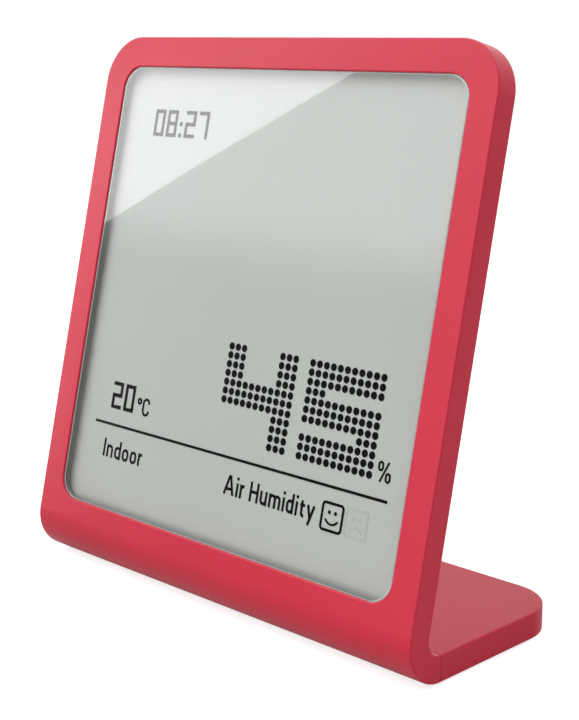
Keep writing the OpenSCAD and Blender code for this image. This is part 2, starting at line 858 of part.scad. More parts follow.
module switch_bodies() {
    well = plunger_len + button_travel + fit_gap;
    color([0.75, 0.75, 0.77]) in_foot() for (x = button_places) translate([x, 0, switch_z]) difference() {
        rear_layer(switch_rear - switch_d, switch_rear) square([switch_w, switch_h], center = true);
        rear_layer(plunger_rear - well, rear)
            square([plunger_w + 2 * fit_gap, plunger_h + 2 * fit_gap], center = true);
    }
}

module cover_screws() {
    color("silver") in_foot() for (x = [-1, 1], y = post_y)
        translate([x * post_x, y, fit_gap / 2]) screw(skin_low - 2 * fit_gap);
}

module lug_screws() {
    color("silver") in_foot() for (x = [-1, 1])
        translate([x * lug_x, lug_screw_y, lug_low + fit_gap / 2]) screw(skin_low - lug_low - 2 * fit_gap);
}

front_frame();
back_cover();
foot_shell();
foot_cover();
battery_door();
rubber_feet();
lens_tape();
cover_lens();
front_polariser();
front_glass();
cell_seal();
humidity_digits();
clock_digits();
temperature_digits();
divider_rule();
unit_signs();
comfort_icon_on();
comfort_icon_off();
rear_glass();
reflector();
foam_pad();
display_flex();
flex_connector();
main_board();
controller_chip();
clock_crystal();
small_components();
humidity_sensor();
coin_cell();
positive_contact();
negative_contact();
set_button();
plus_button();
minus_button();
set_plunger();
plus_plunger();
minus_plunger();
switch_bodies();
cover_screws();
lug_screws();
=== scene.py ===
# %% [markdown]
# A desk thermo-hygrometer, dressed from its CAD frame. The frame gives every piece at its real
# size. This lesson adds what the eye needs: small rounded edges on the mouldings, a moulded satin
# finish, a clear lens, a liquid crystal display and soft light.

# %% Load the frame
import bpy
import bmesh
import json
from math import radians, sin, cos, tan, pi
from mathutils import Vector, Matrix


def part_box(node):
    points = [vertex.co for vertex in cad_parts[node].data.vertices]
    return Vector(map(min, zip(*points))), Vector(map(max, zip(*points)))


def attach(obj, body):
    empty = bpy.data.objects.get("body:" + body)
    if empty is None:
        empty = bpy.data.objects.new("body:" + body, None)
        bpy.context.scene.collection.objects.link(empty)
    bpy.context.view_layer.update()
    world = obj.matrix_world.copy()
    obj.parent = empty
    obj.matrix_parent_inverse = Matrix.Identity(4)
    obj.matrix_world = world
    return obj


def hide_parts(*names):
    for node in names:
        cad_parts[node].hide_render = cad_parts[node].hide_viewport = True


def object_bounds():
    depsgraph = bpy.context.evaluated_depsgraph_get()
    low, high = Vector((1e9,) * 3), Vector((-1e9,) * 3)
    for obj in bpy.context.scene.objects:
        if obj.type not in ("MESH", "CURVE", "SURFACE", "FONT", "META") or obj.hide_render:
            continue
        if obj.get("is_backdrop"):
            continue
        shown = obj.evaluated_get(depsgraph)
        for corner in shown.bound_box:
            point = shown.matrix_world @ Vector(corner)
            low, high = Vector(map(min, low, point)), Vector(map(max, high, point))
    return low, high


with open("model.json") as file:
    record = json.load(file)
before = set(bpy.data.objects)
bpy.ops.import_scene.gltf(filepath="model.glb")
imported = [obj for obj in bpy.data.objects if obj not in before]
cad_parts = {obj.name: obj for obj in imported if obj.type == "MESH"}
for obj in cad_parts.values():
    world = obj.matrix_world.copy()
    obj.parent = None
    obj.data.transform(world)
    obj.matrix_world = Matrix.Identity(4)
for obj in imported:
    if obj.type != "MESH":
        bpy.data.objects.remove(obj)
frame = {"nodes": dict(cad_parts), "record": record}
cad_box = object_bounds()
scene = bpy.context.scene
scene.view_settings.view_transform = "Standard"

# %% [markdown]
# The case is one thick sheet that runs up the panel, round a bend and back into the foot. Its
# points could be given in plain X, Y and Z, but then each of them would need the lean worked in.
# Here a point is a place across, a height up the face and a depth behind it, and one function does
# the turning. The sizes are the case's own, in millimetres, and the frame's boxes confirm them.

# %% Sizes of the case
MM = 0.001
LEAN = radians(12.5)
BEND_OUT_R = 7.2
PANEL_LEN = 97.6
PAD_H = 0.5
BEND_ANGLE = pi / 2 + LEAN
BEND_S = BEND_OUT_R * tan(BEND_ANGLE / 2)

case_low, case_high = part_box("front_frame")
foot_low, foot_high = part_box("foot_shell")
BODY_HALF = case_high.x / MM
EDGE_Y = case_low.y / MM - (BEND_S - BEND_OUT_R)
FOOT_SEAM = foot_low.y / MM - EDGE_Y
FOOT_REAR = foot_high.y / MM - EDGE_Y


def in_foot(x, y, z):
    """A point from the case's lower front edge, in millimetres, to metres in the frame."""
    return Vector((x, EDGE_Y + y, PAD_H + z)) * MM


def on_panel(x, s, depth):
    """A point at a place across, a height up the face and a depth behind it."""
    return in_foot(x, s * sin(LEAN) + depth * cos(LEAN), s * cos(LEAN) - depth * sin(LEAN))


top_miss = (on_panel(0, PANEL_LEN, 0).z - case_high.z) / MM
print("half width", round(BODY_HALF, 3), "mm; top edge off by", round(top_miss, 4), "mm")

# %% [markdown]
# The camera stands where the photograph was taken from, to the right of the object and nearly
# level. It could be set by eye in the viewport. Here its place was worked out from the straight
# edges of the case, because numbers can be checked and repeated. The picture is the lower part of a
# wider view, so the lens is shifted down by a tenth, as on a shift lens, which keeps the upright
# edges in place.

# %% Camera
PHOTO_H = 720
SENSOR = 36.0
FOCAL_PX = 1484.5
AXIS_ABOVE_MIDDLE = 72
CAMERA_AT = in_foot(174.93, -156.93, 94.31)
CAMERA_YAW, CAMERA_PITCH, CAMERA_ROLL = radians(44.3), radians(-9.37), radians(0.3)
NEAREST, FARTHEST = 0.01, 20


def camera_axes(yaw, pitch, roll):
    """Right, up and forward directions of a camera that looks along +Y when nothing is turned."""
    forward = Vector((-sin(yaw) * cos(pitch), cos(yaw) * cos(pitch), sin(pitch)))
    level = Vector((cos(yaw), sin(yaw), 0))
    upright = level.cross(forward)
    return level * cos(roll) + upright * sin(roll), upright * cos(roll) - level * sin(roll), forward


camera_data = bpy.data.cameras.new("camera")
camera_data.sensor_width = SENSOR
camera_data.lens = FOCAL_PX * SENSOR / PHOTO_H
camera_data.shift_y = -AXIS_ABOVE_MIDDLE / PHOTO_H
camera_data.clip_start, camera_data.clip_end = NEAREST, FARTHEST
camera = bpy.data.objects.new("camera", camera_data)
right, up, forward = camera_axes(CAMERA_YAW, CAMERA_PITCH, CAMERA_ROLL)
camera_turn = Matrix((right, up, -forward)).transposed().to_4x4()
camera.matrix_world = Matrix.Translation(CAMERA_AT) @ camera_turn
scene.collection.objects.link(camera)
scene.camera = camera
print("lens", round(camera_data.lens, 2), "mm at", [round(c, 4) for c in CAMERA_AT])

# %% [markdown]
# Materials are small node trees. They could be drawn in the Shader Editor, but a script has to
# build them node by node. The helper below makes a node, sets its plain values and links the rest,
# so that each finish stays a few lines long. Every pattern reads Object coordinates, which are
# metres on each piece, so a grain of a quarter of a millimetre is a noise of scale 4000.

# %% Helper for node trees
NOISE_SPAN = (0.3, 0.7)
PLAIN, FINE = 2.0, 4.0


class Tree:
    """The node tree of a new material or world, filled in by short calls."""

    def __init__(self, name, kind="materials"):
        self.owner = getattr(bpy.data, kind).new(name)
        self.owner.use_nodes = True
        self.nodes, self.links = self.owner.node_tree.nodes, self.owner.node_tree.links
        self.nodes.clear()

    def add(self, kind, values=None, **settings):
        node = self.nodes.new("ShaderNode" + kind)
        for key, value in settings.items():
            setattr(node, key, value)
        for key, value in (values or {}).items():
            socket = node.inputs[key]
            if isinstance(value, bpy.types.NodeSocket):
                self.links.new(value, socket)
            else:
                socket.default_value = value
        return node

    def place(self):
        return self.add("TexCoord").outputs["Object"]

    def noise(self, scale, detail=PLAIN, place=None):
        place = self.place() if place is None else place
        values = {"Vector": place, "Scale": scale, "Detail": detail}
        return self.add("TexNoise", values).outputs["Fac"]

    def ramp(self, value, start, end, low=0.0, high=1.0, kind="LINEAR"):
        limits = {"Value": value, "From Min": start, "From Max": end, "To Min": low, "To Max": high}
        return self.add("MapRange", limits, interpolation_type=kind).outputs["Result"]

    def between(self, noise, low=0.0, high=1.0):
        """A noise, whose values mostly lie near the middle, spread over the range asked for."""
        return self.ramp(noise, *NOISE_SPAN, low, high)

    def blend(self, factor, first, second):
        """A mix of two colours. A Mix node's sockets share their names, so they go by number."""
        return self.add("Mix", {0: factor, 6: first, 7: second}, data_type="RGBA").outputs[2]

    def math(self, operation, *values):
        return self.add("Math", dict(enumerate(values)), operation=operation).outputs["Value"]

    def bump(self, height, strength, distance):
        values = {"Height": height, "Strength": strength, "Distance": distance}
        return self.add("Bump", values).outputs["Normal"]

    def finish(self, surface):
        kind = "OutputWorld" if isinstance(self.owner, bpy.types.World) else "OutputMaterial"
        self.add(kind, {"Surface": surface})
        return self.owner

    def principled(self, values):
        return self.finish(self.add("BsdfPrincipled", values).outputs["BSDF"])


print("a noise is spread from its values between", *NOISE_SPAN)

# %% [markdown]
# A colour picked from a picture is stored for the screen, and a shader counts light. A colour
# picker in Blender makes that change by itself, and a script has to do it.

# %% Colours
def linear(red, green, blue):
    """A colour given as 0 to 255 in a picture, as the linear values that a shader takes."""
    def channel(v):
        v /= 255
        return v / 12.92 if v <= 0.04045 else ((v + 0.055) / 1.055) ** 2.4
    return (channel(red), channel(green), channel(blue), 1.0)


def shade(colour, factor):
    """A lighter or darker copy of a linear colour."""
    return tuple(c * factor for c in colour[:3]) + (1.0,)


WHITE = (1.0, 1.0, 1.0, 1.0)
print("a picture's mid grey is", round(linear(128, 128, 128)[0], 3), "in linear light")

# %% [markdown]
# The case is moulded plastic with a fine spark-eroded grain. An image of such a grain would need a
# UV map on every piece, and noise needs none. The grain is too small to see one by one, but it
# spreads the highlights, so it goes into the roughness and a shallow bump. A slow drift of the
# colour by a few hundredths keeps large faces from looking like flat paint.

# %% Finish: coral red moulded plastic
RED = linear(213, 46, 70)
GRAIN, GRAIN_BUMP, GRAIN_DEPTH = 4200, 0.25, 0.00002
DRIFT, DRIFT_TONES = 45, (0.96, 1.04)
SATIN, SATIN_GLOSS = (0.28, 0.36), 0.24


def moulded_plastic(name, colour, rough=SATIN, grain=GRAIN, depth=GRAIN_DEPTH):
    tree = Tree(name)
    drift = tree.between(tree.noise(DRIFT))
    fine = tree.noise(grain, FINE)
    return tree.principled({
        "Base Color": tree.blend(drift, *(shade(colour, tone) for tone in DRIFT_TONES)),
        "Roughness": tree.between(fine, *rough),
        "Normal": tree.bump(fine, GRAIN_BUMP, depth),
        "Specular IOR Level": SATIN_GLOSS,
    })


red_plastic = moulded_plastic("coral_red_plastic", RED)
print("made", red_plastic.name)

# %% [markdown]
# New pieces could start as cubes and be cut down, but a moulding's walls follow one another like
# the lines of a drawing. So each piece starts as flat outlines: four points, with their corners
# rounded by a vertex bevel. Every outline has the same number of points and starts at the same
# corner, so two of them join point by point into a band of four-sided faces. The bridge operator
# would pick the pairs by itself; here they are given, so that corner meets corner. A moulding is a
# row of outlines, joined one after the other.

# %% Outlines and bands
CORNER_STEPS = 12


def outline(bm, half, low, high, r_low, r_high, depth, keep_face=False):
    """The points of a rectangle with rounded corners, at one depth; its face stays where asked."""
    before = set(bm.faces)
    places = ((-half, low), (half, low), (half, high), (-half, high))
    corners = [bm.verts.new((x, y, depth)) for x, y in places]
    bm.faces.new(corners)
    for verts, radius in ((corners[:2], r_low), (corners[2:], r_high)):
        bmesh.ops.bevel(bm, geom=verts, offset=radius, affect="VERTICES", segments=CORNER_STEPS,
                        profile=0.5, material=-1)
    face = (set(bm.faces) - before).pop()
    ring = face.verts[:]
    start_at = Vector((-half, low, depth))
    start = min(range(len(ring)), key=lambda i: (ring[i].co - start_at).length)
    if not keep_face:
        bmesh.ops.delete(bm, geom=[face], context="FACES_ONLY")
    return ring[start:] + ring[:start]


def ring_edges(bm, ring):
    return [bm.edges.get((ring[i - 1], ring[i])) for i in range(len(ring))]


def bands(bm, *rings):
    """Bands of faces between neighbouring outlines."""
    for first, second in zip(rings, rings[1:]):
        for i in range(len(first)):
            bm.faces.new((first[i - 1], first[i], second[i], second[i - 1]))


print("points in an outline:", 4 * (CORNER_STEPS + 1))

# %% [markdown]
# A real moulding has no sharp edge, and the light that runs along a rounded one shows its shape. A
# Bevel modifier would need a weight on each edge. Rounding by code picks the edges that are seen,
# ring by ring. A plane cut trims a piece, or adds the lines across it that a bend needs.

# %% Rounding and cutting
ROUND_STEPS = 3


def round_edges(bm, edges, radius):
    """Rounds edges; a bevel works only where neighbouring faces agree on their outer side."""
    bmesh.ops.recalc_face_normals(bm, faces=bm.faces)
    bmesh.ops.bevel(bm, geom=edges, offset=radius, offset_type="OFFSET", affect="EDGES",
                    segments=ROUND_STEPS, profile=0.5, material=-1, clamp_overlap=True)


def round_ring(bm, ring, radius):
    round_edges(bm, ring_edges(bm, ring), radius)


def cut(bm, along, place, clear=False):
    """Cuts the whole mesh at a place along an axis, and takes off the near side where asked."""
    point = Vector(along) * place
    geometry = bm.verts[:] + bm.edges[:] + bm.faces[:]
    bmesh.ops.bisect_plane(bm, geom=geometry, plane_co=point, plane_no=along, clear_inner=clear)
    if clear:
        open_edges = [e for e in bm.edges if e.is_boundary]
        bmesh.ops.holes_fill(bm, edges=open_edges, sides=0)


print("a rounded edge has", ROUND_STEPS, "steps")

# %% [markdown]
# Every finished mesh becomes an object in the same way: its faces turn outwards, it is shaded
# smooth up to an angle, and weighted normals keep the large faces flat beside their small rounded
# edges. It then rides on a body of the model, takes its material and hides the CAD nodes that it
# replaces.

# %% From mesh to piece
SMOOTH_ANGLE = radians(40)


def finish_piece(name, bm, material, body, slot, *stands_for):
    """Makes the mesh an object of the model, riding a body and hiding the CAD nodes it replaces."""
    bmesh.ops.recalc_face_normals(bm, faces=bm.faces)
    mesh = bpy.data.meshes.new(name)
    bm.to_mesh(mesh)
    bm.free()
    mesh.shade_smooth()
    mesh.set_sharp_from_angle(angle=SMOOTH_ANGLE)
    mesh.materials.append(material)
    piece = bpy.data.objects.new(name, mesh)
    scene.collection.objects.link(piece)
    weighted = piece.modifiers.new("even_shading", "WEIGHTED_NORMAL")
    weighted.keep_sharp = True
    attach(piece, body)
    if stands_for:
        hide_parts(*stands_for)
    print(name, "has", len(mesh.polygons), "faces")
    return piece


print("edges sharper than", round(SMOOTH_ANGLE / radians(1)), "degrees stay sharp")

# %% [markdown]
# The front moulding is a bent sheet. It could be modelled bent, or bent with a Simple Deform
# modifier between two limits. But its edges are easy to round only while it is flat, and the back
# cover has to follow exactly the same bend. So it is made flat first, as a blank. The blank is cut
# into strips across the bend, and a function that both sheets share moves every point to its place.

# %% Bending a flat blank
BEND_STRIPS = 24
BEND_LENGTH = BEND_OUT_R * BEND_ANGLE
FLAT_TO_S = BEND_S - BEND_LENGTH
ALONG = (0, 1, 0)


def flat(s):
    """A height up the face, as a length along the flat blank."""
    return s - FLAT_TO_S


def bent(x, along, depth):
    """A point of the flat blank, moved to its place in the case."""
    if along >= BEND_LENGTH:
        return on_panel(x, along + FLAT_TO_S, depth)
    angle = along / BEND_OUT_R
    radius = BEND_OUT_R - depth
    return in_foot(x, BEND_S - radius * sin(angle), BEND_OUT_R - radius * cos(angle))


def bend_blank(bm, start):
    """Trims the blank at the seam, cuts it into strips over the bend and bends it."""
    cut(bm, ALONG, start, clear=True)
    for i in range(1, BEND_STRIPS + 1):
        cut(bm, ALONG, start + (BEND_LENGTH - start) * i / BEND_STRIPS)
    for v in bm.verts:
        v.co = bent(*v.co)


print("length round the bend", round(BEND_LENGTH, 2), "mm in", BEND_STRIPS, "strips")

# %% [markdown]
# The blank of the front moulding is a closed row of outlines: the outer edge, the rim behind, the
# step for the back cover, the pocket for the display, the seat of the lens and the lip of the
# window. It could be cut from a slab with Booleans, but joined outlines keep clean edges that a
# bevel can round.

# %% Sizes of the front moulding
CASE_T, WALL, COVER_T, LIP_T = 4.4, 1.2, 0.8, 0.5
FIT_GAP, STEP = 0.1, 0.05
CORNER_R, EDGE_R = 8.2, 0.25
SIDE_FRAME, TOP_FRAME = 5.25, 5.4
WINDOW_HALF = BODY_HALF - SIDE_FRAME
WINDOW_LOW, WINDOW_HIGH, WINDOW_R = 12.2, PANEL_LEN - TOP_FRAME, 4.1
LENS_OVERLAP = 1.5
POCKET_HALF = WINDOW_HALF + LENS_OVERLAP + FIT_GAP
POCKET_LOW = WINDOW_LOW - LENS_OVERLAP - FIT_GAP
POCKET_HIGH = WINDOW_HIGH + LENS_OVERLAP + FIT_GAP
POCKET_R = 1.5
COVER_LEDGE, COVER_R, COVER_EDGE_R = 0.9, 3.4, 0.08
END_WALL = 0.6
OVERRUN = 12.0
print("window", round(2 * WINDOW_HALF, 2), "by", round(WINDOW_HIGH - WINDOW_LOW, 2), "mm")

# %% Front moulding
body = (BODY_HALF, -OVERRUN, flat(PANEL_LEN), CORNER_R, CORNER_R)
cover_half, cover_top = POCKET_HALF + COVER_LEDGE, flat(POCKET_HIGH + COVER_LEDGE)
rim = (cover_half, COVER_R - OVERRUN, cover_top, COVER_R, COVER_R)
pocket = (POCKET_HALF, END_WALL + STEP, flat(POCKET_HIGH), STEP, POCKET_R)
seat = (POCKET_HALF - STEP, flat(POCKET_LOW), flat(POCKET_HIGH) - STEP, POCKET_R, POCKET_R)
window = (WINDOW_HALF, flat(WINDOW_LOW), flat(WINDOW_HIGH), WINDOW_R, WINDOW_R)

bm = bmesh.new()
face_edge = outline(bm, *body, 0)
back_edge = outline(bm, *body, CASE_T)
rim_edge = outline(bm, *rim, CASE_T)
rim_step = outline(bm, *rim, CASE_T - COVER_T)
pocket_edge = outline(bm, *pocket, CASE_T - COVER_T)
pocket_floor = outline(bm, *pocket, WALL)
seat_edge = outline(bm, *seat, WALL)
seat_floor = outline(bm, *seat, LIP_T)
window_back = outline(bm, *window, LIP_T)
window_front = outline(bm, *window, 0)
bands(bm, face_edge, back_edge, rim_edge, rim_step, pocket_edge, pocket_floor, seat_edge,
      seat_floor, window_back, window_front, face_edge)
round_ring(bm, face_edge, EDGE_R)
round_ring(bm, back_edge, EDGE_R)
round_ring(bm, rim_edge, COVER_EDGE_R)
round_ring(bm, window_front, EDGE_R)
bend_blank(bm, 0.0)
finish_piece("front_moulding", bm, red_plastic, "case", "red_plastic", "front_frame")

# %% [markdown]
# The back cover lies in the step of the front moulding, with a fine gap all round. It could be a
# copy of that step's face with a thickness, but it is the same kind of bent sheet, so two outlines
# and the same bend make it.

# %% Back cover
SEAM_GAP = FIT_GAP / 4
cover = (cover_half - FIT_GAP, -OVERRUN, cover_top - FIT_GAP, COVER_R, COVER_R - FIT_GAP)
bm = bmesh.new()
cover_in = outline(bm, *cover, CASE_T - COVER_T, keep_face=True)
cover_out = outline(bm, *cover, CASE_T, keep_face=True)
bands(bm, cover_in, cover_out)
round_ring(bm, cover_out, COVER_EDGE_R)
bend_blank(bm, SEAM_GAP)
finish_piece("back_plate", bm, red_plastic, "case", "red_plastic", "back_cover")

# %% [markdown]
# The foot is a shallow tray, open below, with slots for the buttons and air slots in its rear wall.
# The wall could be built round the slots, but they cross a finished wall, so a Boolean cuts them.
# The cutters are blocks with round ends, and they are removed at once.

# %% Slots and how to cut them
HAIR = 0.001


def pill_blocks(bm, places, width, height, y_low, y_high):
    """Blocks with round ends that run front to back, centred on the places given across and up."""
    for x, z in places:
        start = set(bm.verts)
        r = min(width, height) / 2 - HAIR
        outline(bm, width / 2, -height / 2, height / 2, r, r, 0, keep_face=True)
        face = [v for v in bm.verts if v not in start][0].link_faces[0]
        sweep = bmesh.ops.extrude_face_region(bm, geom=[face], use_keep_orig=True)
        moved = [v for v in sweep["geom"] if isinstance(v, bmesh.types.BMVert)]
        bmesh.ops.translate(bm, verts=moved, vec=(0, 0, -(y_high - y_low)))
        new = [v for v in bm.verts if v not in start]
        turn = Matrix.Rotation(pi / 2, 3, "X")
        bmesh.ops.rotate(bm, verts=new, cent=(0, 0, 0), matrix=turn)
        bmesh.ops.translate(bm, verts=new, vec=(x, y_low, z))


def carve(bm, cutter):
    """Takes the cutter's volume out of a mesh, and gives the result as a new mesh to go on with."""
    objects = []
    for part in (bm, cutter):
        bmesh.ops.recalc_face_normals(part, faces=part.faces)
        mesh = bpy.data.meshes.new("carving")
        part.to_mesh(mesh)
        part.free()
        objects.append(bpy.data.objects.new("carving", mesh))
        scene.collection.objects.link(objects[-1])
    carving = objects[0].modifiers.new("carve", "BOOLEAN")
    carving.object, carving.operation, carving.solver = objects[1], "DIFFERENCE", "EXACT"
    result = bmesh.new()
    result.from_object(objects[0], bpy.context.evaluated_depsgraph_get())
    for spare in objects:
        mesh = spare.data
        bpy.data.objects.remove(spare)
        bpy.data.meshes.remove(mesh)
    return result


def to_metres(bm):
    for v in bm.verts:
        v.co = in_foot(*v.co)


BUTTONS = ("set", "plus", "minus")
BUTTON_W, BUTTON_H, BUTTON_GAP = 7.0, 1.6, 0.15
VENT_W, VENT_H, VENT_PITCH, VENT_COUNT = 0.9, 2.2, 2.2, 4
button_boxes = {name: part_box(name + "_button") for name in BUTTONS}
button_x = [(low.x + high.x) / 2 / MM for low, high in button_boxes.values()]
sensor_low, sensor_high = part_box("humidity_sensor")
vent_mid = (sensor_low.x + sensor_high.x) / 2 / MM
vent_x = [vent_mid + (i - (VENT_COUNT - 1) / 2) * VENT_PITCH for i in range(VENT_COUNT)]
print("buttons at", [round(x, 2) for x in button_x], "air slots at", [round(x, 2) for x in vent_x])

# %% Foot tray
FOOT_SKIN = 0.8
FOOT_CORNER_R = 8.8
CUT_PAST = 1.0
MID_Z = CASE_T / 2
tray = (BODY_HALF, FOOT_SEAM - OVERRUN, FOOT_REAR, FOOT_CORNER_R, FOOT_CORNER_R)
hollow = (BODY_HALF - WALL, FOOT_SEAM + END_WALL, FOOT_REAR - WALL, STEP, FOOT_CORNER_R - WALL)

bm = bmesh.new()
tray_top = outline(bm, *tray, CASE_T, keep_face=True)
tray_low = outline(bm, *tray, 0)
hollow_low = outline(bm, *hollow, 0)
hollow_top = outline(bm, *hollow, CASE_T - FOOT_SKIN, keep_face=True)
bands(bm, tray_top, tray_low, hollow_low, hollow_top)
round_ring(bm, tray_top, EDGE_R)
round_ring(bm, tray_low, EDGE_R)
cut(bm, ALONG, FOOT_SEAM, clear=True)
slots = bmesh.new()
slot_y = (FOOT_REAR - WALL - CUT_PAST, FOOT_REAR + CUT_PAST)
button_slot = (BUTTON_W + 2 * BUTTON_GAP, BUTTON_H + 2 * BUTTON_GAP)
pill_blocks(slots, [(x, MID_Z) for x in button_x], *button_slot, *slot_y)
pill_blocks(slots, [(x, MID_Z) for x in vent_x], VENT_W, VENT_H, *slot_y)
bm = carve(bm, slots)
to_metres(bm)
finish_piece("foot_tray", bm, red_plastic, "case", "red_plastic", "foot_shell")

# %% [markdown]
# Each button is a rounded bar with a flange inside the wall and a short stem that meets its switch.
# Its end face has a small sign: a long bar for set, a plus and a minus. Signs could be engraved
# with a Boolean or left to a bump, but raised bars are real geometry and need no cut in the rounded
# cap.

# %% Buttons
FLANGE_T, FLANGE_EDGE = 0.6, 0.5
STEM_W, STEM_H = 2.4, 1.0
SIGN_LEN, SIGN_T, SIGN_RISE = 1.1, 0.26, 0.1
SET_LEN = 1.6 * SIGN_LEN
SIGNS = {"set": [(SET_LEN, SIGN_T)], "minus": [(SIGN_LEN, SIGN_T)],
         "plus": [(SIGN_LEN, SIGN_T), (SIGN_T, SIGN_LEN)]}
flange_rear = FOOT_REAR - WALL - FIT_GAP
flange = (BUTTON_W + 2 * FLANGE_EDGE, BUTTON_H + 2 * FLANGE_EDGE)


def block(bm, x, z, width, height, y_low, y_high):
    """A block centred across and up, for a raised sign or for the hidden stem."""
    made = bmesh.ops.create_cube(bm, size=1.0)["verts"]
    bmesh.ops.scale(bm, vec=(width, y_high - y_low, height), verts=made)
    bmesh.ops.translate(bm, vec=(x, (y_low + y_high) / 2, z), verts=made)


for name, x in zip(BUTTONS, button_x):
    front, rear = (corner.y / MM - EDGE_Y for corner in button_boxes[name])
    cap_rear = rear - SIGN_RISE
    stem_z = sum(corner.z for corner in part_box(name + "_plunger")) / 2 / MM - PAD_H
    bm = bmesh.new()
    pill_blocks(bm, [(x, MID_Z)], BUTTON_W, BUTTON_H, flange_rear - FLANGE_T / 2, cap_rear)
    rear_edges = [e for e in bm.edges if all(abs(v.co.y - cap_rear) < STEP for v in e.verts)]
    round_edges(bm, rear_edges, EDGE_R)
    for width, height in SIGNS[name]:
        block(bm, x, MID_Z, width, height, cap_rear - SIGN_RISE, rear)
    pill_blocks(bm, [(x, MID_Z)], *flange, flange_rear - FLANGE_T, flange_rear)
    block(bm, x, stem_z, STEM_W, STEM_H, front, flange_rear - FLANGE_T / 2)
    to_metres(bm)
    finish_piece(name + "_key_cap", bm, red_plastic, name + "_key", "red_plastic", name + "_button")

# %% [markdown]
# The case stands on four soft pads, round discs with a soft lower edge. They could be spun from a
# profile, but a cone operator with two equal radii gives the same disc in one step. Moulded rubber
# is dull and slightly worn, so its finish is rough, with pale scuffs from a coarse noise.

# %% Rubber pads
PAD_R, PAD_EDGE, PAD_STEPS = 3.5, 0.15, 48
SCUFF, SCUFF_DETAIL, RUBBER_GRAIN = 700, 5.0, 6000
RUBBER_ROUGH, RUBBER_BUMP, RUBBER_DEPTH = (0.7, 0.9), 0.5, 0.00004
RUBBER, WORN = linear(28, 28, 29), linear(52, 51, 50)

tree = Tree("worn_rubber")
scuff, fine = tree.noise(SCUFF, SCUFF_DETAIL), tree.noise(RUBBER_GRAIN)
worn_rubber = tree.principled({
    "Base Color": tree.blend(tree.between(scuff), RUBBER, WORN),
    "Roughness": tree.between(scuff, *RUBBER_ROUGH),
    "Normal": tree.bump(fine, RUBBER_BUMP, RUBBER_DEPTH),
})

pads_low, pads_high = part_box("rubber_feet")
pad_h = (pads_high.z - pads_low.z) / MM
pad_x = pads_high.x / MM - PAD_R
bm = bmesh.new()
for x in (-pad_x, pad_x):
    for y in (pads_low.y / MM + PAD_R, pads_high.y / MM - PAD_R):
        disc = bmesh.ops.create_cone(bm, cap_ends=True, segments=PAD_STEPS, radius1=PAD_R,
                                     radius2=PAD_R, depth=pad_h)
        bmesh.ops.translate(bm, verts=disc["verts"], vec=(x, y, pad_h / 2))
low_edges = [e for e in bm.edges if all(v.co.z < STEP for v in e.verts)]
round_edges(bm, low_edges, PAD_EDGE)
bmesh.ops.scale(bm, verts=bm.verts, vec=(MM, MM, MM))
finish_piece("rubber_pads", bm, worn_rubber, "case", "foot_rubber", "rubber_feet")

# %% [markdown]
# The window is a clear flat lens, with a thin film and a thin glass behind it. Solid glass would
# bend the light and leave the display in the dark, so each is a clear sheet: mostly see-through,
# with a share of clean reflection on its outer side that grows towards a slant. The lens mirrors
# most, and makes the glare. The film and the glass under it mirror next to nothing.

# %% Finish: clear sheets
LENS_MIRROR, FILM_MIRROR = 0.07, 0.0005
LENS_ROUGH, FILM_ROUGH = 0.02, 0.3
DUST, DUST_ROUGHER = 1500, 1.5
EVEN_SLANT, SLANT_POWER = 0.5, 5.0


def clear_sheet(name, tint, rough, straight):
    """A see-through sheet whose outer skin mirrors a share of the light, and more of it aslant."""
    tree = Tree(name)
    dusty = tree.between(tree.noise(DUST, FINE), rough, rough * DUST_ROUGHER)
    through = tree.add("BsdfTransparent", {"Color": tint}).outputs["BSDF"]
    gloss = tree.add("BsdfGlossy", {"Color": WHITE, "Roughness": dusty}).outputs["BSDF"]
    aslant = tree.add("LayerWeight", {"Blend": EVEN_SLANT}).outputs["Facing"]
    share = tree.ramp(tree.math("POWER", aslant, SLANT_POWER), 0.0, 1.0, straight, 1.0)
    outside = tree.math("SUBTRACT", 1.0, tree.add("NewGeometry").outputs["Backfacing"])
    mirror = tree.math("MULTIPLY", share, outside)
    return tree.finish(tree.add("MixShader", {0: mirror, 1: through, 2: gloss}).outputs["Shader"])


lens_glass = clear_sheet("lens_acrylic", (0.995, 1.0, 0.995, 1), LENS_ROUGH, LENS_MIRROR)
film_sheet = clear_sheet("polariser_film", (0.98, 0.985, 0.975, 1), FILM_ROUGH, FILM_MIRROR)
thin_glass = clear_sheet("thin_glass", (0.995, 0.997, 0.995, 1), FILM_ROUGH, FILM_MIRROR)
print("made", lens_glass.name, film_sheet.name, thin_glass.name)

# %% [markdown]
# The ground of a reflective display is a pale grey green silk, and its marks are dark films. Both
# are matt here: the shine belongs to the lens in front. The ground lies deep behind the lip of the
# window, so it is in shade along its lower edge. A lamp's shadow alone leaves that edge too light,
# so painted shade darkens the colour up the first two millimetres.

# %% Finish: display ground and marks
GROUND = linear(202, 205, 203)
LENS_FRONT, LENS_BACK = 0.6, 1.3
PAINTED_SHADE_EDGE, PAINTED_SHADE_SHARE = (WINDOW_LOW - 0.2, WINDOW_LOW + 1.5), 0.6
SILK, SILK_TONE = 9000, 1.01
SLOW, SLOW_TONES = 30, (0.98, 1.02)
MARK_TONE = 2500
MATT = (0.5, 0.6)


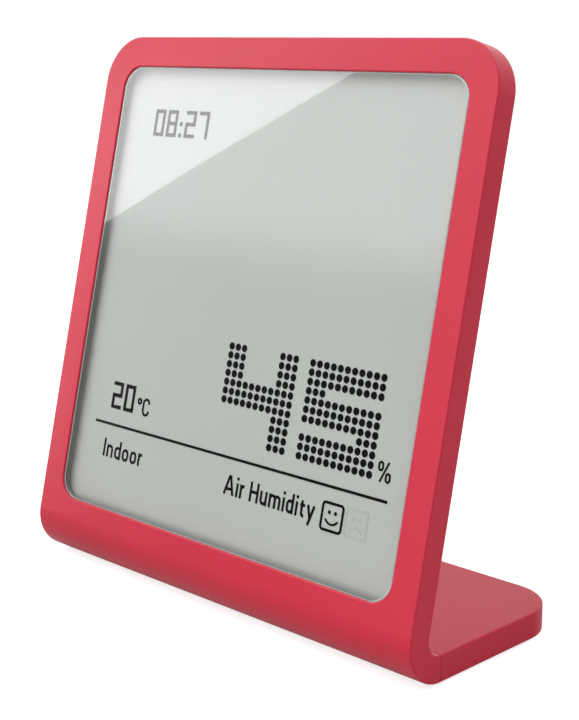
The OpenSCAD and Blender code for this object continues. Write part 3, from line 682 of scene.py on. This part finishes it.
def display_ground(name, colour):
    """The silky ground: a very fine grain, a slow drift in tone and painted shade at its lower
    edge.
    """
    tree = Tree(name)
    face_up = (on_panel(0, 1, LENS_BACK) - on_panel(0, 0, LENS_BACK)).normalized()
    place = {0: tree.place(), 1: face_up}
    height = tree.add("VectorMath", place, operation="DOT_PRODUCT").outputs["Value"]
    ends = [on_panel(0, s, LENS_BACK).dot(face_up) for s in PAINTED_SHADE_EDGE]
    # Painted shade: the colour darkens over the lowest two millimetres of the ground.
    outside_painted_shade = tree.ramp(height, *ends, kind="SMOOTHSTEP")
    silk, slow = tree.between(tree.noise(SILK)), tree.noise(SLOW)
    tone = tree.blend(tree.between(slow), *(shade(colour, tone) for tone in SLOW_TONES))
    tone = tree.blend(silk, tone, shade(colour, SILK_TONE))
    return tree.principled({
        "Base Color": tree.blend(outside_painted_shade, shade(colour, PAINTED_SHADE_SHARE), tone),
        "Roughness": tree.between(slow, *MATT),
        "Specular IOR Level": 0.0,
    })


def display_mark(name, dark, light):
    tree = Tree(name)
    tone = tree.between(tree.noise(MARK_TONE))
    return tree.principled({
        "Base Color": tree.blend(tone, dark, light),
        "Roughness": tree.between(tone, *MATT),
        "Specular IOR Level": 0.0,
    })


ground = display_ground("display_ground", GROUND)
mark = display_mark("display_mark", linear(12, 11, 11), linear(20, 18, 18))
idle = display_mark("display_mark_idle", shade(GROUND, 0.9), shade(GROUND, 0.93))
# The border is real print, paler than the ground: painted light that lifts the shade under the lip.
border_print_and_painted_light = display_mark("border_print_and_painted_light", shade(GROUND, 1.08), shade(GROUND, 1.14))
print("made", ground.name, mark.name, idle.name, border_print_and_painted_light.name)

# %% [markdown]
# The lens is a stepped moulding: a plate behind the lip, and a raised middle that nearly fills the
# window. One flat sheet would do from the front, but the step shows at a slant. Its cut edge is
# opaque and painted pale green, a painted glow that stands for the light clear acrylic carries
# along the sheet. A pale border is printed on its back, round the display, so that no one sees past
# the display at a slant. The print is paler than the ground: painted light that lifts the shade
# under the lip.

# %% Stepped lens
BOSS_GAP, BOSS_DEPTH, BOSS_CHAMFER = 0.1, 0.22, 0.14
# The cut edge's pale green is a painted glow, for light carried along the acrylic.
PAINTED_EDGE_GLOW, EDGE_ROUGH = linear(192, 236, 228), (0.15, 0.25)


def grown(by, radius):
    """The window's outline, larger or smaller by so much all round."""
    return WINDOW_HALF + by, WINDOW_LOW - by, WINDOW_HIGH + by, radius, radius


def place_on_panel(bm):
    for v in bm.verts:
        v.co = on_panel(*v.co)


lens_edge_painted_glow = moulded_plastic("lens_cut_edge_painted_glow", PAINTED_EDGE_GLOW, EDGE_ROUGH)
plate = grown(LENS_OVERLAP, POCKET_R - FIT_GAP)
boss = grown(-BOSS_GAP, WINDOW_R - BOSS_GAP)
boss_top = grown(-BOSS_GAP - BOSS_CHAMFER, WINDOW_R - BOSS_GAP)
bm = bmesh.new()
plate_back = outline(bm, *plate, LENS_BACK, keep_face=True)
plate_front = outline(bm, *plate, LENS_FRONT)
boss_foot = outline(bm, *boss, LENS_FRONT)
boss_edge = outline(bm, *boss, BOSS_DEPTH + BOSS_CHAMFER)
boss_face = outline(bm, *boss_top, BOSS_DEPTH, keep_face=True)
bands(bm, plate_back, plate_front, boss_foot)
clear_faces = set(bm.faces)
bands(bm, boss_foot, boss_edge, boss_face)
for face in set(bm.faces) - clear_faces:
    face.material_index = 1
place_on_panel(bm)
window_lens = finish_piece("window_lens", bm, lens_glass, "case", "clear_lens", "cover_lens")
window_lens.data.materials.append(lens_edge_painted_glow)

# %% Printed border
PRINT_T = 0.03
PRINT_DEPTHS = (LENS_BACK - PRINT_T, LENS_BACK - 2 * PRINT_T)
opening = grown(0, WINDOW_R)
bm = bmesh.new()
print_back = [outline(bm, *size, PRINT_DEPTHS[0]) for size in (opening, plate)]
print_front = [outline(bm, *size, PRINT_DEPTHS[1]) for size in (plate, opening)]
bands(bm, *print_back, *print_front, print_back[0])
place_on_panel(bm)
finish_piece("lens_border", bm, border_print_and_painted_light, "case", "reflector_film")

# %% [markdown]
# The pieces inside the case keep their CAD shapes. They are hidden while the case is shut, but a
# part that is taken apart shows them, so each gets a finish of its own. Metal is rolled, so its
# noise is stretched one way into streaks. A circuit board is green solder mask over copper tracks,
# and the pale joints of a brick pattern read as tracks.

# %% Finishes: metal and circuit board
STREAK, METAL_TONES = 900, (0.92, 1.05)
TRACK_SCALE, TRACK_W, TRACK_BUMP, TRACK_DEPTH = 420, 0.035, 0.3, 0.00003
MASK_GRAIN, MASK_ROUGH = 5000, (0.3, 0.42)


def metal(name, colour, rough, stretch):
    """Rolled metal: fine streaks along one way in the roughness and in the tone."""
    tree = Tree(name)
    values = {"Vector": tree.place(), "Scale": stretch}
    streak = tree.noise(STREAK, FINE, tree.add("Mapping", values).outputs["Vector"])
    return tree.principled({
        "Base Color": tree.blend(tree.between(streak), *(shade(colour, t) for t in METAL_TONES)),
        "Metallic": 1.0,
        "Roughness": tree.between(streak, *rough),
    })


def circuit_board(name):
    """Green solder mask over copper tracks, which show as paler bands."""
    tree = Tree(name)
    tracks = tree.add("TexBrick", {
        "Vector": tree.place(), "Scale": TRACK_SCALE, "Mortar Size": TRACK_W,
        "Color1": linear(22, 84, 48), "Color2": linear(18, 72, 42), "Mortar": linear(52, 124, 76),
    })
    return tree.principled({
        "Base Color": tracks.outputs["Color"],
        "Roughness": tree.between(tree.noise(MASK_GRAIN), *MASK_ROUGH),
        "Normal": tree.bump(tracks.outputs["Fac"], TRACK_BUMP, TRACK_DEPTH),
    })


bright_steel = metal("bright_steel", linear(205, 204, 200), (0.22, 0.36), (1.0, 0.06, 1.0))
solder_mask = circuit_board("solder_mask")
print("made", bright_steel.name, solder_mask.name)

# %% [markdown]
# The record names a material slot for every CAD node, so one table of finishes dresses them all.
# Two nodes differ from their slot: the display's rear glass shows the pale ground, and its seal is
# printed like the border, with the same painted light. The clear layers cast no shadow, because
# light passes them, and so the display behind them stays lit.

# %% Finishes of the CAD nodes
finish_of_slot = {
    "red_plastic": red_plastic,
    "foot_rubber": worn_rubber,
    "clear_lens": lens_glass,
    "display_glass": thin_glass,
    "polariser_film": film_sheet,
    "reflector_film": ground,
    "dark_mark": mark,
    "idle_mark": idle,
    "tape": moulded_plastic("black_tape", linear(40, 40, 41), (0.6, 0.8), 1800),
    "foam": moulded_plastic("closed_foam", linear(58, 58, 60), (0.85, 0.95), 2200, 0.0002),
    "flex_film": moulded_plastic("amber_film", linear(186, 122, 38), (0.25, 0.35), 2600),
    "board_laminate": solder_mask,
    "pale_plastic": moulded_plastic("ivory_plastic", linear(232, 226, 210), (0.4, 0.5)),
    "black_plastic": moulded_plastic("black_plastic", linear(30, 30, 31), (0.4, 0.55)),
    "ceramic_chip": moulded_plastic("tan_ceramic", linear(150, 118, 84), (0.35, 0.5)),
    "bright_metal": bright_steel,
}
finish_of_node = {"rear_glass": ground, "cell_seal": border_print_and_painted_light}
nodes = frame["nodes"]
for row in frame["record"]["subparts"]:
    name = row["node"]
    nodes[name].data.materials.clear()
    finish = finish_of_node.get(name, finish_of_slot[row["material_slot"]])
    nodes[name].data.materials.append(finish)
for layer in (window_lens, nodes["front_polariser"], nodes["front_glass"]):
    layer.visible_shadow = layer.visible_diffuse = layer.visible_glossy = False
nodes["comfort_icon_off"].visible_shadow = False
print("finishes:", len(finish_of_slot), "on", len(nodes), "nodes")

# %% [markdown]
# The display also carries two plain words. A text object would bring a font's own shapes, and a
# display's letters are narrow and all of one stroke. So they are drawn as a sign writer would: each
# letter is a few lines and arcs, a round bevel follows them as a pen, and the result is pressed
# flat and laid just behind the front glass, where the other marks lie.

# %% Letters as pen strokes
PEN = 0.5
CAP_H, SMALL_H = 3.26, 2.28
BOW_R, HOOK_R, FOOT_R = 0.57, 0.62, 0.48
MERGE = 0.1
ARC_STEPS = 10
low_bow, high_bow = PEN / 2 + BOW_R, SMALL_H - PEN / 2 - BOW_R


def arc(x, y, radius, first, last):
    """Points of an arc round a centre, from one angle to another, in degrees."""
    angles = [radians(first + (last - first) * i / ARC_STEPS) for i in range(ARC_STEPS + 1)]
    return [(x + radius * cos(a), y + radius * sin(a)) for a in angles]


def upright(x, low, high):
    return [(x, low), (x, high)]


def level(y, left, right):
    return [(left, y), (right, y)]


wide = 2 * BOW_R
bowl = arc(BOW_R, high_bow, BOW_R, 0, 180) + arc(BOW_R, low_bow, BOW_R, 180, 360)
bowl.append(bowl[0])
arch = arc(BOW_R, high_bow, BOW_R, 180, 0) + [(wide, 0)]
second_arch = [(x + wide - MERGE, y) for x, y in arch]
cup = [(0, SMALL_H)] + arc(BOW_R, low_bow, BOW_R, 180, 360)
hook = arc(HOOK_R, SMALL_H - PEN / 2 - HOOK_R, HOOK_R, 180, 80)
stem, tall = upright(0, 0, SMALL_H), upright(0, 0, CAP_H)
# Each letter has its width and its strokes, in millimetres from its lower left.
LETTERS = {
    "I": (0, [tall]),
    "n": (wide, [stem, arch]),
    "d": (wide, [upright(wide, 0, CAP_H), bowl]),
    "o": (wide, [bowl]),
    "r": (0.72, [stem, hook]),
    "A": (2.04, [[(0, 0), (0.95, CAP_H)], [(2.04, 0), (1.09, CAP_H)], level(0.96, 0.35, 1.69)]),
    "i": (0, [stem, upright(0, CAP_H - PEN, CAP_H)]),
    "H": (1.56, [tall, upright(1.56, 0, CAP_H), level(1.64, 0, 1.56)]),
    "u": (wide, [upright(wide, 0, SMALL_H), cup]),
    "m": (2 * wide - MERGE, [stem, arch, second_arch]),
    "t": (0.66, [[(0.28, 2.7)] + arc(0.76, 0.74, FOOT_R, 180, 280), level(1.96, -0.1, 0.9)]),
    "y": (1.34, [[(0, SMALL_H), (0.7, 0)], [(1.34, SMALL_H), (0.4, -0.9)]]),
}
print("letters:", "".join(LETTERS))

# %% Words of the display
MARK_DEPTH, MARK_T = 1.85, 0.04
LETTER_GAP, WORD_GAP = 0.38, 0.7
PEN_ROUND = 2
SAME_POINT = 1e-5
WORDS = (("Indoor", -31.75, 21.15, 10.9), ("Air Humidity", 0.2, 21.05, 20.85))


def word_strokes(word):
    """The strokes of a word, set letter by letter, and the length that its pen has gone."""
    strokes, pen_x = [], 0.0
    for letter in word:
        if letter == " ":
            pen_x += WORD_GAP
            continue
        advance, lines = LETTERS[letter]
        strokes += [[(pen_x + px, py) for px, py in line] for line in lines]
        pen_x += advance + PEN + LETTER_GAP
    return strokes, pen_x - PEN - LETTER_GAP


def write_word(word, x, s, width):
    """A word fitted to a width, as a flat mesh in its place on the display."""
    strokes, length = word_strokes(word)
    fit = (width - PEN) / length
    curve = bpy.data.curves.new("word", "CURVE")
    curve.dimensions = "3D"
    curve.bevel_depth, curve.bevel_resolution, curve.use_fill_caps = PEN / 2, PEN_ROUND, True
    for line in strokes:
        spline = curve.splines.new("POLY")
        spline.points.add(len(line) - 1)
        for point, (px, py) in zip(spline.points, line):
            point.co = (px * fit + PEN / 2, py, 0, 1)
    drawn = bpy.data.objects.new("word", curve)
    scene.collection.objects.link(drawn)
    evaluated = drawn.evaluated_get(bpy.context.evaluated_depsgraph_get())
    shapes = bpy.data.meshes.new_from_object(evaluated)
    bm = bmesh.new()
    bm.from_mesh(shapes)
    bpy.data.objects.remove(drawn)
    bpy.data.curves.remove(curve)
    bpy.data.meshes.remove(shapes)
    bmesh.ops.remove_doubles(bm, verts=bm.verts, dist=SAME_POINT)
    bmesh.ops.scale(bm, verts=bm.verts, vec=(1, 1, MARK_T / PEN))
    bmesh.ops.translate(bm, verts=bm.verts, vec=(x, s, MARK_DEPTH + MARK_T / 2))
    place_on_panel(bm)
    return bm


for word, *placing in WORDS:
    name = "word_" + word.lower().replace(" ", "_")
    finish_piece(name, write_word(word, *placing), mark, "case", "dark_mark")

# %% [markdown]
# The floor is pale and so large that it fills the view. A brighter lamp would also whiten the
# object, so the floor's material adds a little white of its own for what is seen directly. It then
# reads as a white page and still keeps the soft shadow of the object. The world does the same: it
# is white where it is seen or mirrored, and gives the object a weaker light.

# %% Floor
FLOOR_HALF, FLOOR_CELLS = 3.0, 8
FLOOR_CLOUD, FLOOR_TONES, FLOOR_ROUGH = 6, (0.54, 0.56), 0.9
FLOOR_LIFT, MIRROR_LIFT = 0.8, 0.12


def stage_piece(name, bm, material):
    """Makes a mesh part of the stage, round the object."""
    mesh = bpy.data.meshes.new(name)
    bm.to_mesh(mesh)
    bm.free()
    mesh.materials.append(material)
    piece = bpy.data.objects.new(name, mesh)
    scene.collection.objects.link(piece)
    piece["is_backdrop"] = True
    return piece


tree = Tree("pale_floor")
cloud = tree.between(tree.noise(FLOOR_CLOUD))
path = tree.add("LightPath").outputs
direct = tree.math("MAXIMUM", path["Is Camera Ray"], path["Is Transmission Ray"])
direct = tree.math("MULTIPLY", direct, FLOOR_LIFT)
pale_floor = tree.principled({
    "Base Color": tree.blend(cloud, *(shade(WHITE, tone) for tone in FLOOR_TONES)),
    "Roughness": FLOOR_ROUGH,
    "Specular IOR Level": 0.0,
    "Emission Color": WHITE,
    "Emission Strength": tree.math("MULTIPLY_ADD", path["Is Glossy Ray"], MIRROR_LIFT, direct),
})
bm = bmesh.new()
bmesh.ops.create_grid(bm, x_segments=FLOOR_CELLS, y_segments=FLOOR_CELLS, size=FLOOR_HALF)
stage_piece("floor", bm, pale_floor)
print("floor", 2 * FLOOR_HALF, "m wide")

# %% World
AMBIENT = 0.4
sky = Tree("studio", "worlds")
path = sky.add("LightPath").outputs
seen = sky.math("MAXIMUM", path["Is Camera Ray"], path["Is Glossy Ray"])
seen = sky.math("MAXIMUM", seen, path["Is Transmission Ray"])
strength = sky.ramp(seen, 0.0, 1.0, AMBIENT, 1.0)
background = sky.add("Background", {"Color": WHITE, "Strength": strength})
scene.world = sky.finish(background.outputs["Background"])
print("world gives", AMBIENT, "of white")

# %% [markdown]
# The light is a large soft key from the front and left, and a weaker fill from behind on the right.
# One sun would give hard shadows. Wide area lamps give the soft shadow and the even colour of a
# studio table.

# %% Lamps
AIM = (0, 0, 0.045)
LAMPS = {
    "key_lamp": {"place": (-0.75, -0.95, 1.35), "size": 1.5, "power": 25.5},
    "fill_lamp": {"place": (0.6, 0.75, 1.25), "size": 0.8, "power": 8.0},
}


def soft_lamp(name, place, size, power):
    data = bpy.data.lights.new(name, "AREA")
    data.shape, data.size, data.energy = "SQUARE", size, power
    lamp = bpy.data.objects.new(name, data)
    lamp.location = place
    lamp.rotation_euler = (Vector(AIM) - Vector(place)).to_track_quat("-Z", "Y").to_euler()
    scene.collection.objects.link(lamp)


for name, lamp in LAMPS.items():
    soft_lamp(name, **lamp)
    print(name, "of", lamp["power"], "W")

# %% [markdown]
# The bright corner on the window is a softbox that the front face of the lens mirrors to the
# camera. It could be painted on the display, but then it would stay there from every side. So it is
# a real lamp: a flat mirror shows a thing where the camera's own mirror image would see it, and the
# lamp's lower edge is laid through two points of the window in that way. It reaches reflections
# alone, so it lights nothing.

# %% What the lens mirrors
lens_normal = Vector((0, -cos(LEAN), sin(LEAN)))
to_lens = (CAMERA_AT - on_panel(0, 0, BOSS_DEPTH)).dot(lens_normal)
mirrored_eye = CAMERA_AT - 2 * to_lens * lens_normal


def mirrored(x, s, away):
    """Where the camera, looking at this point of the lens, sees by reflection."""
    return mirrored_eye + away * (on_panel(x, s, BOSS_DEPTH) - mirrored_eye)


def mirror_only(item):
    """Leaves an object to reflections alone."""
    for way in ("camera", "diffuse", "transmission", "volume_scatter", "shadow"):
        setattr(item, "visible_" + way, False)


print("camera to lens plane", round(to_lens, 4), "m")

# %% Softbox
GLARE_EDGE = ((16.05, 91.95), (-38.25, 63.55))
GLARE_CORNER = (-39.75, 92.2)
BOX_AWAY, BOX_POWER = 2.0, 0.088
BOX_WIDER, BOX_DEEPER = 1.25, 1.15

first, second = (mirrored(x, s, BOX_AWAY) for x, s in GLARE_EDGE)
edge_way = (second - first).normalized()
reach = mirrored(*GLARE_CORNER, BOX_AWAY) - first
depth_way = reach - reach.dot(edge_way) * edge_way
box_depth = depth_way.length * BOX_DEEPER
depth_way.normalize()
if edge_way.cross(depth_way).dot(lens_normal) < 0:
    edge_way = -edge_way
box_data = bpy.data.lights.new("glare_softbox", "AREA")
box_data.shape, box_data.energy = "RECTANGLE", BOX_POWER
box_data.size, box_data.size_y = (second - first).length * BOX_WIDER, box_depth
softbox = bpy.data.objects.new("glare_softbox", box_data)
box_turn = Matrix((edge_way, depth_way, lens_normal)).transposed().to_4x4()
box_middle = (first + second) / 2 + depth_way * box_depth / 2
softbox.matrix_world = Matrix.Translation(box_middle) @ box_turn
scene.collection.objects.link(softbox)
mirror_only(softbox)
print("softbox", round(box_data.size, 3), "by", round(box_depth, 3), "m")

# %% [markdown]
# The lens would mirror the white world as an even haze. The world could be made dark for mirrors,
# but then every glossy edge of the object would lose its light. So a card behind the softbox hides
# it from the window. The card is nearly black where the lower window mirrors it, which keeps the
# marks dark there, and pale above, for a soft sheen. The change between the two is gradual.

# %% Card behind the softbox
CARD_AWAY, CARD_MARGIN = 2.2, 2
CARD_CLOUD = 8
CARD_LOW, CARD_HIGH, CARD_FADE = 0.04, 1.5, (56, 70)
GREY_TONE = 0.96


def glow_card(name, tone, faces, axis, ends, low, high, kind="LINEAR"):
    """A card that glows for mirrors alone, by an amount that changes along an axis."""
    tree = Tree(name)
    cloth = tree.blend(tree.between(tree.noise(CARD_CLOUD)), shade(WHITE, tone), WHITE)
    place = tree.add("SeparateXYZ", {0: tree.place()}).outputs[axis]
    glow = {"Color": cloth, "Strength": tree.ramp(place, *ends, low, high, kind)}
    bm = bmesh.new()
    for places in faces:
        bm.faces.new([bm.verts.new(mirrored(x, s, CARD_AWAY)) for x, s in places])
    bmesh.ops.remove_doubles(bm, verts=bm.verts, dist=SAME_POINT)
    material = tree.finish(tree.add("Emission", glow).outputs["Emission"])
    mirror_only(stage_piece(name, bm, material))
    print(name, "glows from", low, "to", high)


card_half = WINDOW_HALF + CARD_MARGIN
card_low, card_high = WINDOW_LOW - CARD_MARGIN, WINDOW_HIGH + CARD_MARGIN
whole = ((-card_half, card_low), (card_half, card_low),
         (card_half, card_high), (-card_half, card_high))
fade_ends = [mirrored(0, s, CARD_AWAY).z for s in CARD_FADE]
glow_card("grey_card", GREY_TONE, [whole], "Z", fade_ends, CARD_LOW, CARD_HIGH, "SMOOTHSTEP")

# %% [markdown]
# The satin frame round the window mirrors what stands beside that card. In a studio, white
# reflectors stand there and lift the frame's colour. A stronger lamp would lift the display, too.
# Here it is one card in three parts, left of, below and right of what the window mirrors, and it is
# brighter on the left.

# %% Reflector round the card
LEFT_REACH, RIGHT_REACH, LOW_REACH = 40, 30, 20
BRIGHT_LEFT, BRIGHT_RIGHT = 7.4, 3.4
BRIGHT_TONE = 0.97

far_left, far_right = -WINDOW_HALF - LEFT_REACH, WINDOW_HALF + RIGHT_REACH
far_low = WINDOW_LOW - LOW_REACH
outer = ((far_left, WINDOW_HIGH), (far_left, far_low),
         (far_right, far_low), (far_right, WINDOW_HIGH))
inner = ((-card_half, WINDOW_HIGH), *whole[:2], (card_half, WINDOW_HIGH))
strips = [(outer[i], outer[i + 1], inner[i + 1], inner[i]) for i in range(len(outer) - 1)]
side_ends = [mirrored(x, WINDOW_LOW, CARD_AWAY).x for x in (-WINDOW_HALF, -WINDOW_HALF / 2)]
glow_card("bright_card", BRIGHT_TONE, strips, "X", side_ends, BRIGHT_LEFT, BRIGHT_RIGHT)

# %% [markdown]
# Last, the size of the dressed object is set beside the size of the frame: the two boxes are
# printed. Nothing here may make the object larger.

# %% Sizes and finish
visual_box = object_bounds()
for label, (low, high) in (("frame", cad_box), ("dressed", visual_box)):
    print(label, [round(c, 5) for c in high - low])
